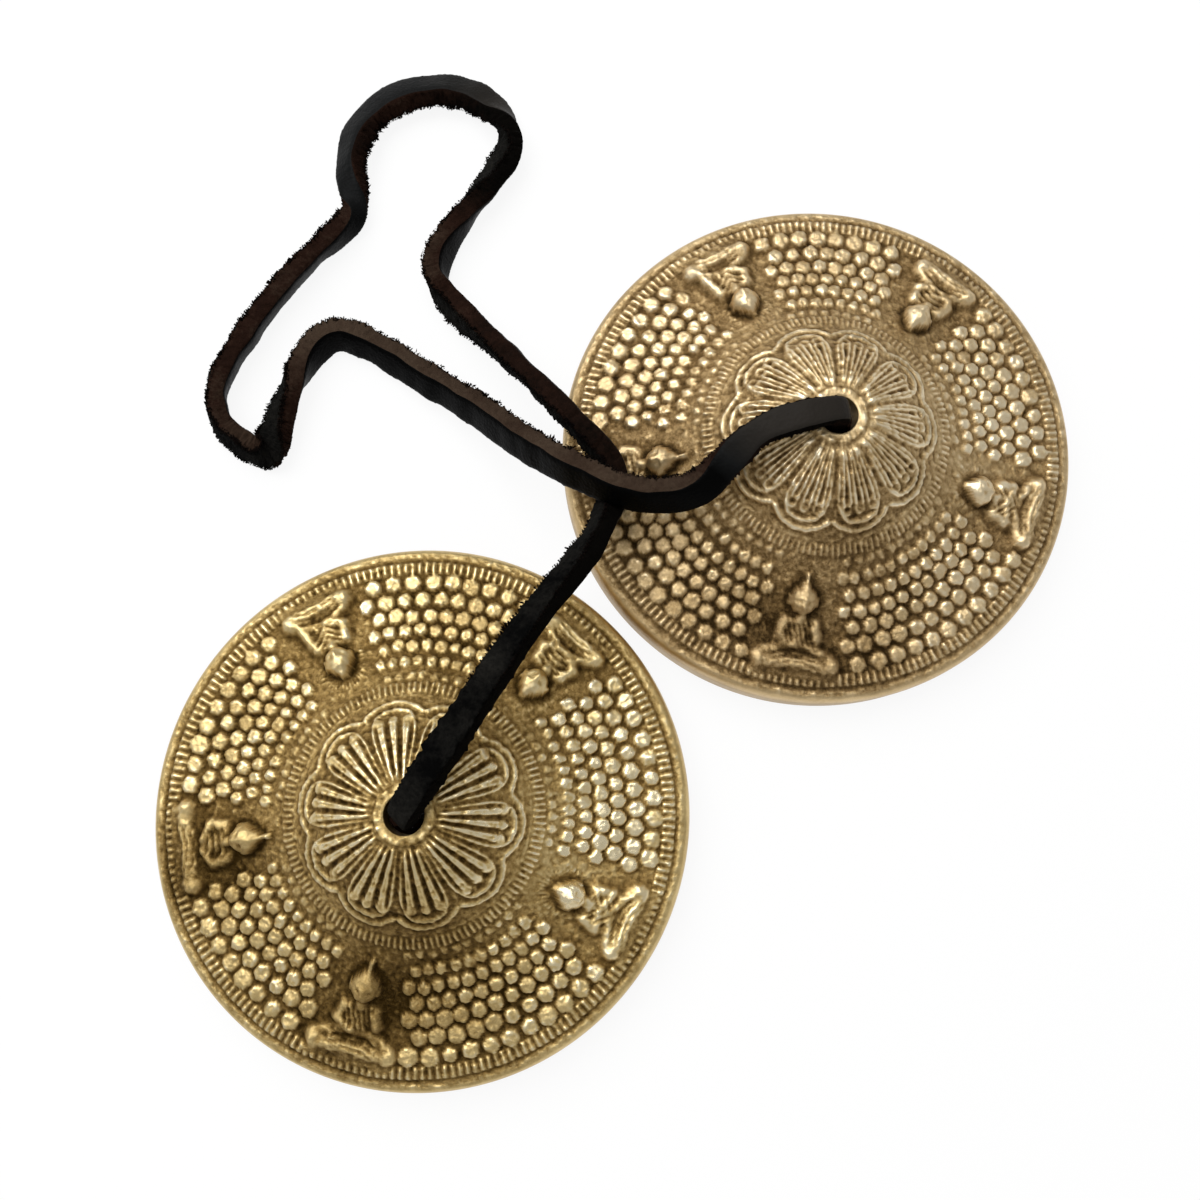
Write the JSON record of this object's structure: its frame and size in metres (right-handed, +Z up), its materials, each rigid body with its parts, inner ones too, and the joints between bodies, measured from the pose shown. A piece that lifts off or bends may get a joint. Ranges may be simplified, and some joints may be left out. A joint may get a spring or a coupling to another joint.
{
  "type": "tingsha cymbals",
  "caption": "Pair of small thick brass hand cymbals with cast seated figures, bead fields and lotus domes, joined by a leather thong through their crowns, rung rim to rim.",
  "frame": {"origin": "on the table, midway between the two cymbals as they lie: bottom centre of the box round both cymbals", "axes": "+Z up along both cymbals' axes, +Y towards the top of the picture, +X to its right"},
  "size_m": [0.1309, 0.1544, 0.0307],
  "materials": {
    "aged_brass_left": "sand-cast brass, worn bright on high spots, dark patina in the recesses",
    "aged_brass_right": "sand-cast brass, browner and more matte, dark patina in the recesses",
    "thong_leather": "black dyed grain side, brown suede flesh side, ragged cut edges"
  },
  "bodies": {
    "thong": {"thong": "thong_leather"},
    "left_knot": {"left_knot": "thong_leather"},
    "left_cymbal": {"left_cymbal": "aged_brass_left"},
    "right_knot": {"right_knot": "thong_leather"},
    "right_cymbal": {"right_cymbal": "aged_brass_right"}
  },
  "joints": [
    {"name": "left_swing", "type": "hinge", "parent": "thong", "child": "left_knot", "pos_m": [-0.02763, -0.0271, 0.0223], "axis": [-0.85, 0.5268, 0], "range_deg": [0, 180], "deforming": ["thong"]},
    {"name": "left_spin", "type": "hinge", "parent": "left_knot", "child": "left_cymbal", "pos_m": [-0.02763, -0.0271, 0.0195], "axis": [0, 0, 1], "continuous": true},
    {"name": "right_swing", "type": "hinge", "parent": "thong", "child": "right_knot", "pos_m": [0.02763, 0.0271, 0.0223], "axis": [0.3012, -0.9536, 0], "range_deg": [0, 180], "deforming": ["thong"]},
    {"name": "right_spin", "type": "hinge", "parent": "right_knot", "child": "right_cymbal", "pos_m": [0.02763, 0.0271, 0.0195], "axis": [0, 0, 1], "continuous": true}
  ]
}
